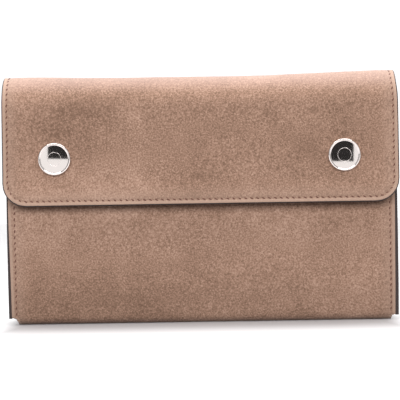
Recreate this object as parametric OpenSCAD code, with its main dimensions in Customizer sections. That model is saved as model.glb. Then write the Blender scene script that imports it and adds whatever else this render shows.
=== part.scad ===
// Flap wallet: a gusseted case standing on its folded base, closed by a roll-over flap
// with two snaps. Inside are a zip pocket between two open compartments and card slots.
// X runs across the front, -Y is the front, +Z is up. The base rests on Z = 0.

/* [Case] */
// Width of the case across its stitched side edges
body_w = 198; // [176:1:230]
// Height of the closed wallet, to the top of the rolled leather
height = 125; // [118:1:150]
// Depth of the case, front leather to back leather
body_d = 26; // [25:0.5:36]
// Thickness of the outer leather
leather_t = 1.4; // [1.1:0.1:1.7]
// Thickness of every lining
lining_t = 0.8; // [0.5:0.1:1]
// Thickness of the interlining behind the front leather
interlining_t = 0.7; // [0.5:0.1:1]
// How far the front wall's top edge lies below the start of the roll
front_step = 1.7; // [1:0.1:8]
// Outer radius of the two folds along the base
base_r = 4; // [3:0.5:5]
// Height of the folded base strip
base_h = 6; // [5.5:0.5:8]
// Thickness of the stiff board in the base
board_t = 1.2; // [0.8:0.1:1.6]
// How far the fold is cut in at each bottom corner
notch_w = 5; // [3:0.5:7]
// Height at which the side edges stop above the base
notch_h = 2; // [1.5:0.5:3]

/* [Flap] */
// Width of the flap and of the rolled top
flap_w = 200; // [178:1:234]
// Height of the flap's lower edge above the base
flap_low = 60; // [45:1:70]
// Radius of the flap's lower corners
flap_r = 12; // [6:0.5:20]
// Gap between the closed flap and the front wall
flap_gap = 2.4; // [2.2:0.1:3.5]
// Gap between neighbouring strips of the rolled leather
roll_gap = 0.3; // [0.2:0.05:0.5]

/* [Snaps] */
// Distance between the two snaps
snap_spacing = 146; // [100:1:150]
// Height of the snaps above the flap's lower edge
snap_up = 23.5; // [15:0.5:30]
// Diameter of a snap cap
cap_dia = 16.3; // [14:0.1:19]
// Height of a snap cap's rim above the leather
cap_h = 2.2; // [1.8:0.1:2.6]
// Diameter of the raised ring inside a cap
ring_dia = 7.6; // [6:0.1:9]
// Diameter of a socket behind the flap
socket_dia = 12; // [11:0.5:13.5]
// How far a socket stands out behind the flap
socket_h = 1.5; // [1.3:0.1:1.6]
// Diameter of the head of a stud
stud_dia = 5; // [4:0.1:5.5]
// How far a stud reaches into its socket
stud_reach = 1.1; // [0.8:0.1:1.2]
// Room around a stud for the flap's swing
snap_clear = 0.7; // [0.6:0.05:1]
// Diameter of a stud's flange and of its backing washer
flange_dia = 10; // [9:0.5:11.5]
// Diameter of the rivets through the leather
rivet_dia = 3; // [2.5:0.1:3.5]

/* [Gussets] */
// Width of each side seam
seam_w = 5.5; // [5:0.5:7]
// Depth of the pleats from the side edge
pleat_in = 11; // [10:0.5:14]
// Depth of the fold between the two pleats
pleat_mid = 7; // [6.5:0.5:8]
// Thickness of the gusset leather
gusset_t = 0.9; // [0.7:0.1:1.1]

/* [Zip pocket] */
// Depth of the zip pocket over its walls
pocket_d = 9.2; // [9:0.1:10]
// Height of the zip above the base
zip_z = 98; // [90:0.5:99]
// Height of the zip pocket's floor above the base
pocket_low = 12; // [8:1:30]
// Length of the row of teeth
zip_l = 160; // [100:2:160]
// Distance between teeth of one row
tooth_pitch = 2; // [1.8:0.1:2.4]
// Length of a tooth along the zip
tooth_l = 1.1; // [0.9:0.1:1.2]
// Width of the closed chain
chain_w = 4.2; // [4:0.1:4.4]
// Height of a tooth
tooth_h = 1.4; // [1.2:0.1:1.6]
// Gap between the two rows, for the slider's post
row_gap = 0.7; // [0.6:0.05:0.9]
// Thickness of the zip tape
tape_t = 0.4; // [0.3:0.05:0.5]
// Length of the slider
slider_l = 8; // [7:0.5:9]
// Width of the slider
slider_w = 6.2; // [6:0.1:6.4]
// Thickness of the slider's plates
plate_t = 0.8; // [0.7:0.1:1]
// Running gap around the slider
slider_clear = 0.15; // [0.1:0.05:0.2]
// Length of the pull beyond its pivot
pull_l = 13; // [9:0.5:14]
// Width of the pull
pull_w = 3.6; // [3.2:0.1:4.2]

/* [Card slots] */
// Height of the lowest card tier's top edge
card_top = 52; // [44:1:54]
// Step from one card tier to the next
card_step = 11; // [9:0.5:12]
// Thickness of a card tier
card_t = 0.6; // [0.4:0.1:0.7]
// Gap behind each card tier
card_gap = 0.2; // [0.1:0.05:0.3]

/* [Stitching] */
// Distance between stitches
stitch_pitch = 2.9; // [2.4:0.1:3.6]
// Length of a stitch
stitch_l = 2.1; // [1.6:0.1:2.3]
// Thickness of the thread
thread_t = 0.5; // [0.4:0.05:0.6]
// Slant of each stitch
stitch_turn = 14; // [0:1:20]
// Distance of the flap's stitching from its edge
flap_inset = 2.5; // [2.2:0.1:4]
// Distance of the side stitching from the side edge
side_inset = 3; // [2.5:0.1:3.5]

/* [Hidden] */
$fn = 64;
// How far a stitch stands out of the leather
thread_out = 0.3;
// Leather and lining together, on the flap, the roll and the back wall
skin_t = leather_t + lining_t;
total_d = cap_h + skin_t + flap_gap + body_d + thread_out;
// Outer faces of the front wall, the back wall and the flap
front_y = -total_d/2 + cap_h + skin_t + flap_gap;
back_y = front_y + body_d;
flap_y = front_y - flap_gap - skin_t;
// The roll runs from the back wall over the top to the flap
roll_r = (back_y - flap_y)/2;
roll_y = (back_y + flap_y)/2;
roll_z = height - roll_r;
// Each of the four bends takes a quarter of the half turn
bend = 45;
// Half of a gap between two strips, as an angle
gap_turn = asin(roll_gap/2/roll_r);
front_top = roll_z - front_step;
front_wall_t = leather_t + interlining_t + lining_t;
snap_z = flap_low + snap_up;
// Inside of the base: board, then lining
floor_z = leather_t + board_t + lining_t;
// Gusset pleats, measured from the front face
pleat_run = gusset_t*1.8;
mid_d = body_d/2;
pleat_d = leather_t + (mid_d - leather_t)*0.4;
// The linings start where the pleats leave the walls
pleat_slope = (pleat_d - leather_t)/(pleat_in - seam_w);
lining_in = seam_w + pleat_run + (front_wall_t - leather_t)/pleat_slope + 0.3;
card_stack = 3*(card_t + card_gap);
card_in = seam_w + pleat_run + (lining_t + card_stack)/pleat_slope + 0.3;
card_w = body_w - 2*card_in;
// Depth at which the back lining starts
card_d = body_d - skin_t;
// The zip pocket stands midway between the front lining and the card tiers
pocket_mid = (front_wall_t + card_d - card_stack)/2;
// Zip pocket ends
pocket_flat = zip_l/2 + 2;
pocket_end = pocket_flat + 5;
// The pocket's end seams reach the gussets' middle folds
fold_slope = (pleat_in - pleat_mid)/(pocket_mid - pleat_d);
pocket_tab = body_w/2 - pleat_mid - pleat_run - (lining_t + 0.05)*fold_slope - 0.05;
slider_x = zip_l/2 - slider_l/2 - 1;
slider_travel = 2*slider_x;
plate_z = tooth_h/2 + slider_clear;
lip_in = chain_w/2 + slider_clear;
lip_t = 0.6;
// Slider bridge and the pull's cross bar under it
bridge_x = 1.8;
bridge_t = 0.8;
bridge_w = 1.2;
bridge_h = 1.4;
bar_r = 0.45;
pull_z = zip_z + plate_z + plate_t + bridge_h/2;
pull_t = 0.8;
window_l = 3.8;
window_w = 1.9;
post_w = row_gap - 2*slider_clear + 0.1;
ring_t = 0.45;

// A flat panel centred on X, from depth d0 to d1 behind the front face
module panel(w, d0, d1, z0, z1) {
    translate([-w/2, front_y + d0, z0])
        cube([w, d1 - d0, z1 - z0]);
}

// Turns a drawing made in the Y-Z plane into a bar along X
module along_x(w) {
    translate([-w/2, 0, 0])
        rotate([90, 0, 90])
            linear_extrude(w)
                children();
}

// Turns a drawing made in the X-Z plane into a plate, t thick, with its front at y
module plate_at(y, t) {
    translate([0, y + t, 0])
        rotate([90, 0, 0])
            linear_extrude(t)
                children();
}

// Sector of a ring about the roll's axis, in the Y-Z plane, 0 degrees at the back
module roll_sector(r_out, r_in, a0, a1) {
    far = 2*r_out;
    mid = (a0 + a1)/2;
    translate([roll_y, roll_z])
        intersection() {
            difference() {
                circle(r_out, $fn = 96);
                circle(r_in, $fn = 96);
            }
            polygon([[0, 0], [far*cos(a0), far*sin(a0)], [far*cos(mid), far*sin(mid)],
                [far*cos(a1), far*sin(a1)]]);
        }
}

// One strip of the roll's leather, between bends n and n + 1
module roll_strip(n) {
    along_x(flap_w)
        roll_sector(roll_r, roll_r - leather_t, bend*(n - 0.5) + gap_turn, bend*(n + 0.5) - gap_turn);
}

// The lining behind one strip of the roll
module roll_strip_lining(n) {
    along_x(flap_w)
        roll_sector(roll_r - leather_t, roll_r - skin_t, bend*(n - 0.5) + gap_turn,
            bend*(n + 0.5) - gap_turn);
}

// Front outline of the folded base, with its cut corners
module base_outline() {
    polygon([[-body_w/2, notch_h], [-body_w/2 + notch_w/2, notch_h - 0.3],
        [-body_w/2 + notch_w, 0], [body_w/2 - notch_w, 0],
        [body_w/2 - notch_w/2, notch_h - 0.3], [body_w/2, notch_h],
        [body_w/2, base_h], [-body_w/2, base_h]]);
}

// Section of the folded base, in the Y-Z plane, shrunk by t all round
module base_section(t) {
    r = base_r - t;
    translate([front_y + base_r, base_r])
        circle(r);
    translate([back_y - base_r, base_r])
        circle(r);
    translate([front_y + base_r, t])
        square([body_d - 2*base_r, base_h]);
    translate([front_y + t, base_r])
        square([body_d - 2*t, base_h]);
}

// Flat part of the flap, with round lower corners
module flap_outline(top) {
    for (side = [-1, 1])
        translate([side*(flap_w/2 - flap_r), flap_low + flap_r])
            circle(flap_r);
    translate([-flap_w/2 + flap_r, flap_low])
        square([flap_w - 2*flap_r, flap_r]);
    translate([-flap_w/2, flap_low + flap_r])
        square([flap_w, top - flap_low - flap_r]);
}

// Puts its children at both snaps, with +Z pointing out of the front
module at_snaps(y) {
    for (side = [-1, 1])
        translate([side*snap_spacing/2, y, snap_z])
            rotate([90, 0, 0])
                children();
}

// Holes through the leather at both snaps, from depth y over a length
module snap_holes(y, r, l) {
    at_snaps(y)
        cylinder(r = r, h = l);
}

// One slanted stitch lying in the X-Z plane with its face towards -Y
module stitch(turn) {
    rotate([0, turn, 0])
        translate([-thread_t/2, -thread_out, -stitch_l/2])
            cube([thread_t, thread_out, stitch_l]);
}

// A straight upright column of stitches
module stitch_column(x, y, z0, z1, turn) {
    count = floor((z1 - z0)/stitch_pitch);
    start = (z0 + z1 - (count - 1)*stitch_pitch)/2;
    for (i = [0 : count - 1])
        translate([x, y, start + i*stitch_pitch])
            stitch(turn);
}

module front_panel() {
    color([0.58, 0.46, 0.40])
        difference() {
            panel(body_w, 0, leather_t, base_h, front_top);
            snap_holes(front_y + leather_t + 1, rivet_dia/2, leather_t + 2);
        }
}

module base_fold() {
    color([0.56, 0.44, 0.38])
        intersection() {
            difference() {
                along_x(body_w)
                    intersection() {
                        base_section(0);
                        translate([front_y, 0])
                            square([body_d, base_h]);
                    }
                along_x(body_w + 2)
                    base_section(leather_t);
            }
            plate_at(front_y - 1, body_d + 2)
                base_outline();
        }
}

module back_panel() {
    color([0.58, 0.46, 0.40])
        union() {
            panel(body_w, body_d - leather_t, body_d, base_h, roll_z);
            along_x(body_w)
                roll_sector(roll_r, roll_r - leather_t, 0, bend/2 - gap_turn);
        }
}

module front_interlining() {
    color([0.85, 0.82, 0.76])
        difference() {
            panel(body_w - 2*lining_in, leather_t, leather_t + interlining_t, base_h, front_top - 3);
            snap_holes(front_y + front_wall_t, flange_dia/2 + 0.2, front_wall_t);
        }
}

module front_lining() {
    color([0.30, 0.24, 0.21])
        panel(body_w - 2*lining_in, leather_t + interlining_t, front_wall_t, base_h, front_top);
}

module back_lining() {
    color([0.30, 0.24, 0.21])
        union() {
            panel(body_w - 2*lining_in, card_d, body_d - leather_t, base_h, roll_z);
            along_x(body_w - 2*lining_in)
                roll_sector(roll_r - leather_t, roll_r - skin_t, 0, bend/2 - gap_turn);
        }
}

module base_board() {
    color([0.78, 0.70, 0.56])
        panel(body_w - 2*lining_in, base_r, body_d - base_r, leather_t, leather_t + board_t);
}

module base_lining() {
    color([0.30, 0.24, 0.21])
        panel(body_w - 2*lining_in, base_r - 1, body_d - base_r + 1, floor_z - lining_t, floor_z);
}

// Double-pleated side wall, drawn from the side edge inwards and extruded upwards
module gusset() {
    seam_in = seam_w + gusset_t/pleat_slope;
    back_d = body_d - leather_t;
    translate([-body_w/2, front_y, base_r])
        linear_extrude(front_top - base_r)
            polygon([[0, leather_t], [0, leather_t + gusset_t], [seam_in, leather_t + gusset_t],
                [pleat_in, pleat_d], [pleat_mid, pocket_mid], [pleat_in, body_d - pleat_d],
                [seam_in, back_d - gusset_t], [0, back_d - gusset_t], [0, back_d],
                [seam_w + pleat_run, back_d], [pleat_in + pleat_run, body_d - pleat_d],
                [pleat_mid + pleat_run, pocket_mid], [pleat_in + pleat_run, pleat_d],
                [seam_w + pleat_run, leather_t]]);
}

module gusset_left() {
    color([0.50, 0.39, 0.33])
        gusset();
}

module gusset_right() {
    color([0.50, 0.39, 0.33])
        mirror([1, 0, 0])
            gusset();
}

// Half of the zip pocket: a wall whose ends lean in to a seam sewn to the gussets' middle fold
module pocket_half() {
    seam_y = -0.05;
    far_y = seam_y - lining_t;
    linear_extrude(zip_z - tape_t/2 - pocket_low)
        polygon([[-pocket_tab, far_y], [-pocket_end, far_y], [-pocket_flat, -pocket_d/2],
            [pocket_flat, -pocket_d/2], [pocket_end, far_y], [pocket_tab, far_y],
            [pocket_tab, seam_y], [pocket_end - 0.6, seam_y],
            [pocket_flat - 0.3, -pocket_d/2 + lining_t],
            [-pocket_flat + 0.3, -pocket_d/2 + lining_t], [-pocket_end + 0.6, seam_y],
            [-pocket_tab, seam_y]]);
}

module zip_wall_front() {
    color([0.33, 0.27, 0.24])
        translate([0, front_y + pocket_mid, pocket_low]) {
            pocket_half();
            translate([-pocket_flat + 1, -pocket_d/2, 0])
                cube([2*pocket_flat - 2, pocket_d - lining_t - 0.1, lining_t]);
        }
}

module zip_wall_back() {
    color([0.33, 0.27, 0.24])
        translate([0, front_y + pocket_mid, pocket_low])
            mirror([0, 1, 0])
                pocket_half();
}

// One tape: it lies on top of the wall, beside the teeth
module zip_tape() {
    translate([-pocket_flat, -pocket_d/2, zip_z - tape_t/2])
        cube([2*pocket_flat, (pocket_d - chain_w)/2, tape_t]);
}

module zip_tape_front() {
    color([0.22, 0.18, 0.16])
        translate([0, front_y + pocket_mid, 0])
            zip_tape();
}

module zip_tape_back() {
    color([0.22, 0.18, 0.16])
        translate([0, front_y + pocket_mid, 0])
            mirror([0, 1, 0])
                zip_tape();
}

// One row of teeth on its cord, on the -Y side of the middle, moved along by shift
module tooth_row(shift) {
    count = floor((zip_l - tooth_l - abs(shift))/tooth_pitch);
    cord_w = 0.6;
    translate([-zip_l/2 + 0.5, -chain_w/2, -tooth_h/4])
        cube([zip_l - 1, cord_w, tooth_h/2]);
    for (i = [0 : count - 1])
        translate([-zip_l/2 + 0.8 + shift + i*tooth_pitch, -chain_w/2, -tooth_h/2])
            cube([tooth_l, (chain_w - row_gap)/2, tooth_h]);
}

module zip_teeth_front() {
    color([0.72, 0.70, 0.68])
        translate([0, front_y + pocket_mid, zip_z])
            tooth_row(0);
}

module zip_teeth_back() {
    color([0.72, 0.70, 0.68])
        translate([0, front_y + pocket_mid, zip_z])
            mirror([0, 1, 0])
                tooth_row(tooth_pitch/2);
}

module zip_stops() {
    stop_l = 1.6;
    stop_w = chain_w + 1.6;
    color([0.72, 0.70, 0.68])
        for (side = [-1, 1])
            translate([side*(zip_l + stop_l)/2 - stop_l/2, front_y + pocket_mid - stop_w/2,
                zip_z + tape_t/2])
                cube([stop_l, stop_w, tooth_h]);
}

// Slider plate seen from above, narrower at its tail
module slider_plate() {
    linear_extrude(plate_t)
        polygon([[-slider_l/2, -slider_w/2 + 0.6], [-slider_l/2 + 1, -slider_w/2 + 0.1],
            [slider_l/2 - 2, -slider_w/2], [slider_l/2, -slider_w/2 + 1],
            [slider_l/2, slider_w/2 - 1], [slider_l/2 - 2, slider_w/2],
            [-slider_l/2 + 1, slider_w/2 - 0.1], [-slider_l/2, slider_w/2 - 0.6]]);
}

module zip_slider() {
    lip_h = plate_z - tape_t/2 - slider_clear;
    color([0.80, 0.79, 0.78])
        translate([slider_x, front_y + pocket_mid, zip_z]) {
            translate([0, 0, plate_z])
                slider_plate();
            translate([0, 0, -plate_z - plate_t])
                slider_plate();
            translate([slider_l/2 - 3, -post_w/2, -plate_z - plate_t/2])
                cube([2.5, post_w, 2*plate_z + plate_t]);
            for (side = [-1, 1]) {
                translate([-slider_l/2 + 1, side > 0 ? lip_in : -lip_in - lip_t, plate_z - lip_h])
                    cube([slider_l - 3, lip_t, lip_h + plate_t/2]);
                translate([-slider_l/2 + 1, side > 0 ? lip_in : -lip_in - lip_t, -plate_z - plate_t/2])
                    cube([slider_l - 3, lip_t, lip_h + plate_t/2]);
            }
            translate([0, 0, plate_z + plate_t]) {
                for (x = [-bridge_x - bridge_t, bridge_x])
                    translate([x, -bridge_w/2, -plate_t/2])
                        cube([bridge_t, bridge_w, bridge_h + plate_t/2 + 0.1]);
                translate([-bridge_x - bridge_t, -bridge_w/2, bridge_h])
                    cube([2*(bridge_x + bridge_t), bridge_w, 0.6]);
            }
        }
}

module zip_pull() {
    color([0.80, 0.79, 0.78])
        translate([slider_x, front_y + pocket_mid, pull_z]) {
            rotate([90, 0, 0])
                cylinder(r = bar_r, h = pull_w, center = true);
            difference() {
                union() {
                    translate([-pull_l + pull_w/2, -pull_w/2, -pull_t/2])
                        cube([pull_l - pull_w/2, pull_w, pull_t]);
                    translate([-pull_l + pull_w/2, 0, -pull_t/2])
                        cylinder(r = pull_w/2, h = pull_t);
                }
                translate([-window_l - bar_r/2, -window_w/2, -pull_t])
                    cube([window_l, window_w, 2*pull_t]);
                translate([-pull_l + pull_w/2, 0, -pull_t])
                    cylinder(r = 0.9, h = 2*pull_t);
            }
        }
}

// A card tier; tier 0 is the lowest and lies furthest forward
module card_tier(n) {
    d1 = card_d - card_gap - (2 - n)*(card_t + card_gap);
    panel(card_w, d1 - card_t, d1, base_h, card_top + n*card_step);
}

module card_tier_low() {
    color([0.52, 0.41, 0.35])
        card_tier(0);
}

module card_tier_mid() {
    color([0.52, 0.41, 0.35])
        card_tier(1);
}

module card_tier_high() {
    color([0.52, 0.41, 0.35])
        card_tier(2);
}

module card_thread() {
    color([0.36, 0.26, 0.20])
        stitch_column(0, front_y + card_d - card_stack, base_h + 2, card_top - 1, 0);
}

module snap_studs() {
    head_h = flap_gap - socket_h + stud_reach;
    color([0.84, 0.84, 0.84])
        at_snaps(front_y) {
            cylinder(d = flange_dia, h = 0.5);
            cylinder(d = stud_dia - 0.8, h = head_h);
            translate([0, 0, head_h - 0.7])
                cylinder(d1 = stud_dia, d2 = stud_dia - 0.8, h = 0.7, $fn = 64);
            translate([0, 0, -leather_t - 0.1])
                cylinder(d = rivet_dia, h = leather_t + 0.2);
        }
}

module snap_washers() {
    color([0.80, 0.79, 0.77])
        at_snaps(front_y + leather_t + interlining_t)
            difference() {
                cylinder(d = flange_dia, h = interlining_t);
                translate([0, 0, interlining_t - 0.15])
                    cylinder(d = rivet_dia, h = 1);
            }
}

module snap_sockets() {
    color([0.84, 0.84, 0.84])
        at_snaps(front_y - flap_gap + socket_h)
            difference() {
                cylinder(d = socket_dia, h = socket_h);
                translate([0, 0, -1])
                    cylinder(d = stud_dia + 2*snap_clear, h = 1 + stud_reach + 0.2);
            }
}

module snap_caps() {
    rim_r = 0.55;
    color([0.86, 0.86, 0.87])
        at_snaps(flap_y) {
            cylinder(d = cap_dia - 2*rim_r, h = cap_h - 0.8);
            cylinder(d = cap_dia - 0.3, h = cap_h - rim_r);
            translate([0, 0, cap_h - rim_r])
                rotate_extrude()
                    translate([cap_dia/2 - rim_r, 0])
                        circle(rim_r, $fn = 32);
            translate([0, 0, cap_h - 0.8])
                rotate_extrude()
                    translate([ring_dia/2, 0])
                        circle(ring_t, $fn = 32);
            translate([0, 0, cap_h - 0.9])
                cylinder(d1 = ring_dia, d2 = ring_dia - 3, h = 0.45);
            translate([0, 0, -skin_t])
                cylinder(d = rivet_dia, h = skin_t + 0.5);
        }
}

module roll_back() {
    color([0.62, 0.50, 0.44])
        roll_strip(1);
}

module roll_back_lining() {
    color([0.30, 0.24, 0.21])
        roll_strip_lining(1);
}

module roll_top() {
    color([0.64, 0.52, 0.46])
        roll_strip(2);
}

module roll_top_lining() {
    color([0.30, 0.24, 0.21])
        roll_strip_lining(2);
}

module roll_front() {
    color([0.62, 0.50, 0.44])
        roll_strip(3);
}

module roll_front_lining() {
    color([0.30, 0.24, 0.21])
        roll_strip_lining(3);
}

module flap_leather() {
    color([0.60, 0.48, 0.42])
        difference() {
            union() {
                plate_at(flap_y, leather_t)
                    flap_outline(roll_z);
                along_x(flap_w)
                    roll_sector(roll_r, roll_r - leather_t, 180 - bend/2 + gap_turn, 180);
            }
            snap_holes(flap_y + leather_t + 1, rivet_dia/2, leather_t + 2);
        }
}

module flap_lining() {
    color([0.30, 0.24, 0.21])
        difference() {
            union() {
                plate_at(flap_y + leather_t, lining_t)
                    flap_outline(roll_z);
                along_x(flap_w)
                    roll_sector(roll_r - leather_t, roll_r - skin_t, 180 - bend/2 + gap_turn, 180);
            }
            snap_holes(flap_y + skin_t + 1, rivet_dia/2, lining_t + 2);
        }
}

module flap_thread() {
    x_in = flap_w/2 - flap_inset;
    z_low = flap_low + flap_r;
    corner_r = flap_r - flap_inset;
    run = 2*(x_in - corner_r);
    count = floor(run/stitch_pitch);
    corner_n = floor(corner_r*PI/2/stitch_pitch);
    color([0.40, 0.29, 0.23]) {
        for (side = [-1, 1])
            stitch_column(side*x_in, flap_y, z_low, roll_z, side*stitch_turn);
        for (i = [0 : count - 1])
            translate([(i - (count - 1)/2)*stitch_pitch, flap_y, flap_low + flap_inset])
                stitch(90 - stitch_turn);
        for (side = [-1, 1])
            for (i = [0 : corner_n - 1])
                translate([side*(x_in - corner_r), flap_y, z_low])
                    rotate([0, side*(90 + (i + 0.5)*90/corner_n), 0])
                        translate([0, 0, corner_r])
                            stitch(90 + side*stitch_turn);
    }
}

module body_thread() {
    color([0.40, 0.29, 0.23])
        for (side = [-1, 1]) {
            stitch_column(side*(body_w/2 - side_inset), front_y, base_h, front_top, side*stitch_turn);
            stitch_column(side*(body_w/2 - side_inset), back_y + thread_out, base_h, roll_z,
                side*stitch_turn);
        }
}

front_panel();
base_fold();
back_panel();
front_interlining();
front_lining();
back_lining();
base_board();
base_lining();
gusset_left();
gusset_right();
zip_wall_front();
zip_wall_back();
zip_tape_front();
zip_tape_back();
zip_teeth_front();
zip_teeth_back();
zip_stops();
zip_slider();
zip_pull();
card_tier_low();
card_tier_mid();
card_tier_high();
card_thread();
snap_studs();
snap_washers();
snap_sockets();
snap_caps();
roll_back();
roll_back_lining();
roll_top();
roll_top_lining();
roll_front();
roll_front_lining();
flap_leather();
flap_lining();
flap_thread();
body_thread();
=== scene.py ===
"""Flap wallet: its leather, stitching, snaps and inside, built round the fixed frame."""

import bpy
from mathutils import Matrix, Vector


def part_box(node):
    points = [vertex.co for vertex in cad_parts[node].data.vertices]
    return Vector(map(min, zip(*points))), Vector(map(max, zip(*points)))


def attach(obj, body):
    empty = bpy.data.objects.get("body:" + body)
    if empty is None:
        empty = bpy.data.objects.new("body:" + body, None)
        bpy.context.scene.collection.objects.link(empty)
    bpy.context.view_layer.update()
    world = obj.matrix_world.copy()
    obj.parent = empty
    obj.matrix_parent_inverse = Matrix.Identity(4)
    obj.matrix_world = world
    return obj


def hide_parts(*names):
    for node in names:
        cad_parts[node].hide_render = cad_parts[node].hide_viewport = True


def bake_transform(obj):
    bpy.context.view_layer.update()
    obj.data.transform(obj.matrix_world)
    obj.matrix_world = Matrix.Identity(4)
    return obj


bl_info = {
    "name": "Flap Wallet",
    "version": (1, 0, 0),
    "blender": (4, 5, 0),
    "location": "View3D > Sidebar > Wallet",
    "description": "Builds a suede flap wallet round its fixed frame",
    "category": "Object",
}

import math

import bmesh
import bpy
from mathutils import Matrix, Vector, noise

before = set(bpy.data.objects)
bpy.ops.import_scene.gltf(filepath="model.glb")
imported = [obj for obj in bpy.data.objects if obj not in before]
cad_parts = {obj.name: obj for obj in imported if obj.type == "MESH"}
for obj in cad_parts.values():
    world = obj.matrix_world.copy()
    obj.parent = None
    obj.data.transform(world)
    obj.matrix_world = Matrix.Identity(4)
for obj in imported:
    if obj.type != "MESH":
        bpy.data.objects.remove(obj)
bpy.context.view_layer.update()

MM = 0.001
CASE, FLAP = "case", "flap"


def frame_mm(node):
    """Lowest and highest corner of a frame node, in millimetres."""
    low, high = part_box(node)
    return [c / MM for c in low], [c / MM for c in high]


# Sizes that the pieces share, all taken from the frame, in millimetres
_front_low, _front_high = frame_mm("front_panel")
_flap_low, _flap_high = frame_mm("flap_leather")
_cap_low, _cap_high = frame_mm("snap_caps")
FRONT_Y = _front_low[1]
BACK_Y = frame_mm("back_panel")[1][1]
FLAP_Y = _flap_low[1]
FRONT_TOP = _front_high[2]
FLAP_LOW = _flap_low[2]
CASE_HALF = _front_high[0]
FLAP_HALF = _flap_high[0]
LEATHER = _front_high[1] - _front_low[1]
SKIN = frame_mm("flap_lining")[1][1] - _flap_low[1]
ROLL_R = (BACK_Y - FLAP_Y) / 2
ROLL_Y = (BACK_Y + FLAP_Y) / 2
ROLL_Z = frame_mm("roll_top")[1][2] - ROLL_R
FLAP_DROP = ROLL_Z - FLAP_LOW
SNAP_Z = (_cap_low[2] + _cap_high[2]) / 2 + 0.3
CAP_R = (_cap_high[2] - _cap_low[2]) / 2
SNAP_X = _cap_high[0] - CAP_R
CAP_Y = _cap_low[1]

# Sizes that the frame doesn't give, in millimetres
BASE_R = 4.0  # outer radius of the folded base
GUSSET_T = 0.9  # thickness of the gusset leather
LINING_T = 0.8  # thickness of the lining
SEAM_OVER = 0.35  # the painted seam stands out past the case leather
CASE_SEAM = 4.0  # the stitched groove down the case's sides, from the edge
FLAP_SEAM = 2.6  # the stitched groove round the flap, from the edge
SEAM_STEPS = (0.0, 0.95, 1.5, 1.9, 2.25, 2.6, 2.95, 3.4, 4.1, 5.2, 6.8, 9.0, 12.0)  # grid lines beside an edge
PLAIN = 9.0  # edge distance given to leather that has no rubbed margin


# ---------------------------------------------------------------- sizes and colours


def length(name, description, default):
    """A size in millimetres, as a panel property in metres."""
    return bpy.props.FloatProperty(
        name=name, description=description, default=default * MM, min=0.0, subtype="DISTANCE", unit="LENGTH"
    )


def colour(name, description, default):
    """A colour, as a panel property."""
    return bpy.props.FloatVectorProperty(
        name=name, description=description, default=default, size=4, min=0.0, max=1.0, subtype="COLOR"
    )


class WalletLeather(bpy.types.PropertyGroup):
    nap_dark: colour("Nap, dark", "Suede brushed away from the light", (0.170, 0.100, 0.068, 1))
    nap_mid: colour("Nap", "Suede at rest", (0.330, 0.202, 0.144, 1))
    nap_light: colour("Nap, light", "Suede brushed towards the light", (0.520, 0.345, 0.265, 1))
    # The margin tint is partly suede rubbed smooth and partly a painted highlight, the light that the raised
    # margins catch
    margin: colour("Margin", "Suede rubbed smooth beside its edges", (0.42, 0.290, 0.225, 1))
    paint: colour("Edge paint", "Painted leather edge", (0.026, 0.019, 0.018, 1))
    lining: colour("Lining", "Smooth lining leather", (0.125, 0.076, 0.054, 1))
    corner_r: length("Flap corner", "Radius of the flap's lower corners", 12.0)
    groove_depth: length("Groove depth", "How far the stitching pulls the leather in", 0.24)
    groove_half: length("Groove half width", "Half width of the stitched groove", 0.62)
    edge_round: length("Edge rounding", "Rounding of the painted edges", 0.55)


class WalletThread(bpy.types.PropertyGroup):
    # The thread's dark brown is partly its own colour and partly painted shade, standing in for the shade in its
    # needle holes
    colour: colour("Thread", "Waxed thread", (0.120, 0.050, 0.036, 1))
    pitch: length("Pitch", "Distance between stitches", 3.0)
    stitch: length("Stitch", "Length of a stitch", 1.75)
    thick: length("Thickness", "Thickness of the thread", 0.62)
    flap_inset: length("Flap inset", "Stitching to the flap's edge", 2.5)
    case_inset: length("Side inset", "Stitching to the case's side edge", 4.0)
    slant: bpy.props.FloatProperty(
        name="Slant", description="Slant of each stitch", default=math.radians(28), subtype="ANGLE", unit="ROTATION"
    )


class WalletMetal(bpy.types.PropertyGroup):
    nickel: colour("Nickel", "Polished snap metal", (0.88, 0.81, 0.78, 1))
    zip_metal: colour("Zip metal", "Teeth and slider", (0.62, 0.60, 0.57, 1))


def leather():
    """The leather's sizes and colours."""
    return bpy.context.scene.wallet_leather


def thread():
    """The thread's sizes and colour."""
    return bpy.context.scene.wallet_thread


def metal():
    """The metals' colours."""
    return bpy.context.scene.wallet_metal


# ---------------------------------------------------------------- materials


class Wire:
    """A shader socket that adds Math nodes when it is added, multiplied and so on."""

    def __init__(self, shader, socket):
        self.shader, self.socket = shader, socket

    def _math(self, operation, left, right):
        return self.shader.math(operation, left, right)

    def __add__(self, other):
        return self._math("ADD", self, other)

    def __radd__(self, other):
        return self._math("ADD", other, self)

    def __sub__(self, other):
        return self._math("SUBTRACT", self, other)

    def __rsub__(self, other):
        return self._math("SUBTRACT", other, self)

    def __mul__(self, other):
        return self._math("MULTIPLY", self, other)

    def __rmul__(self, other):
        return self._math("MULTIPLY", other, self)


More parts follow.
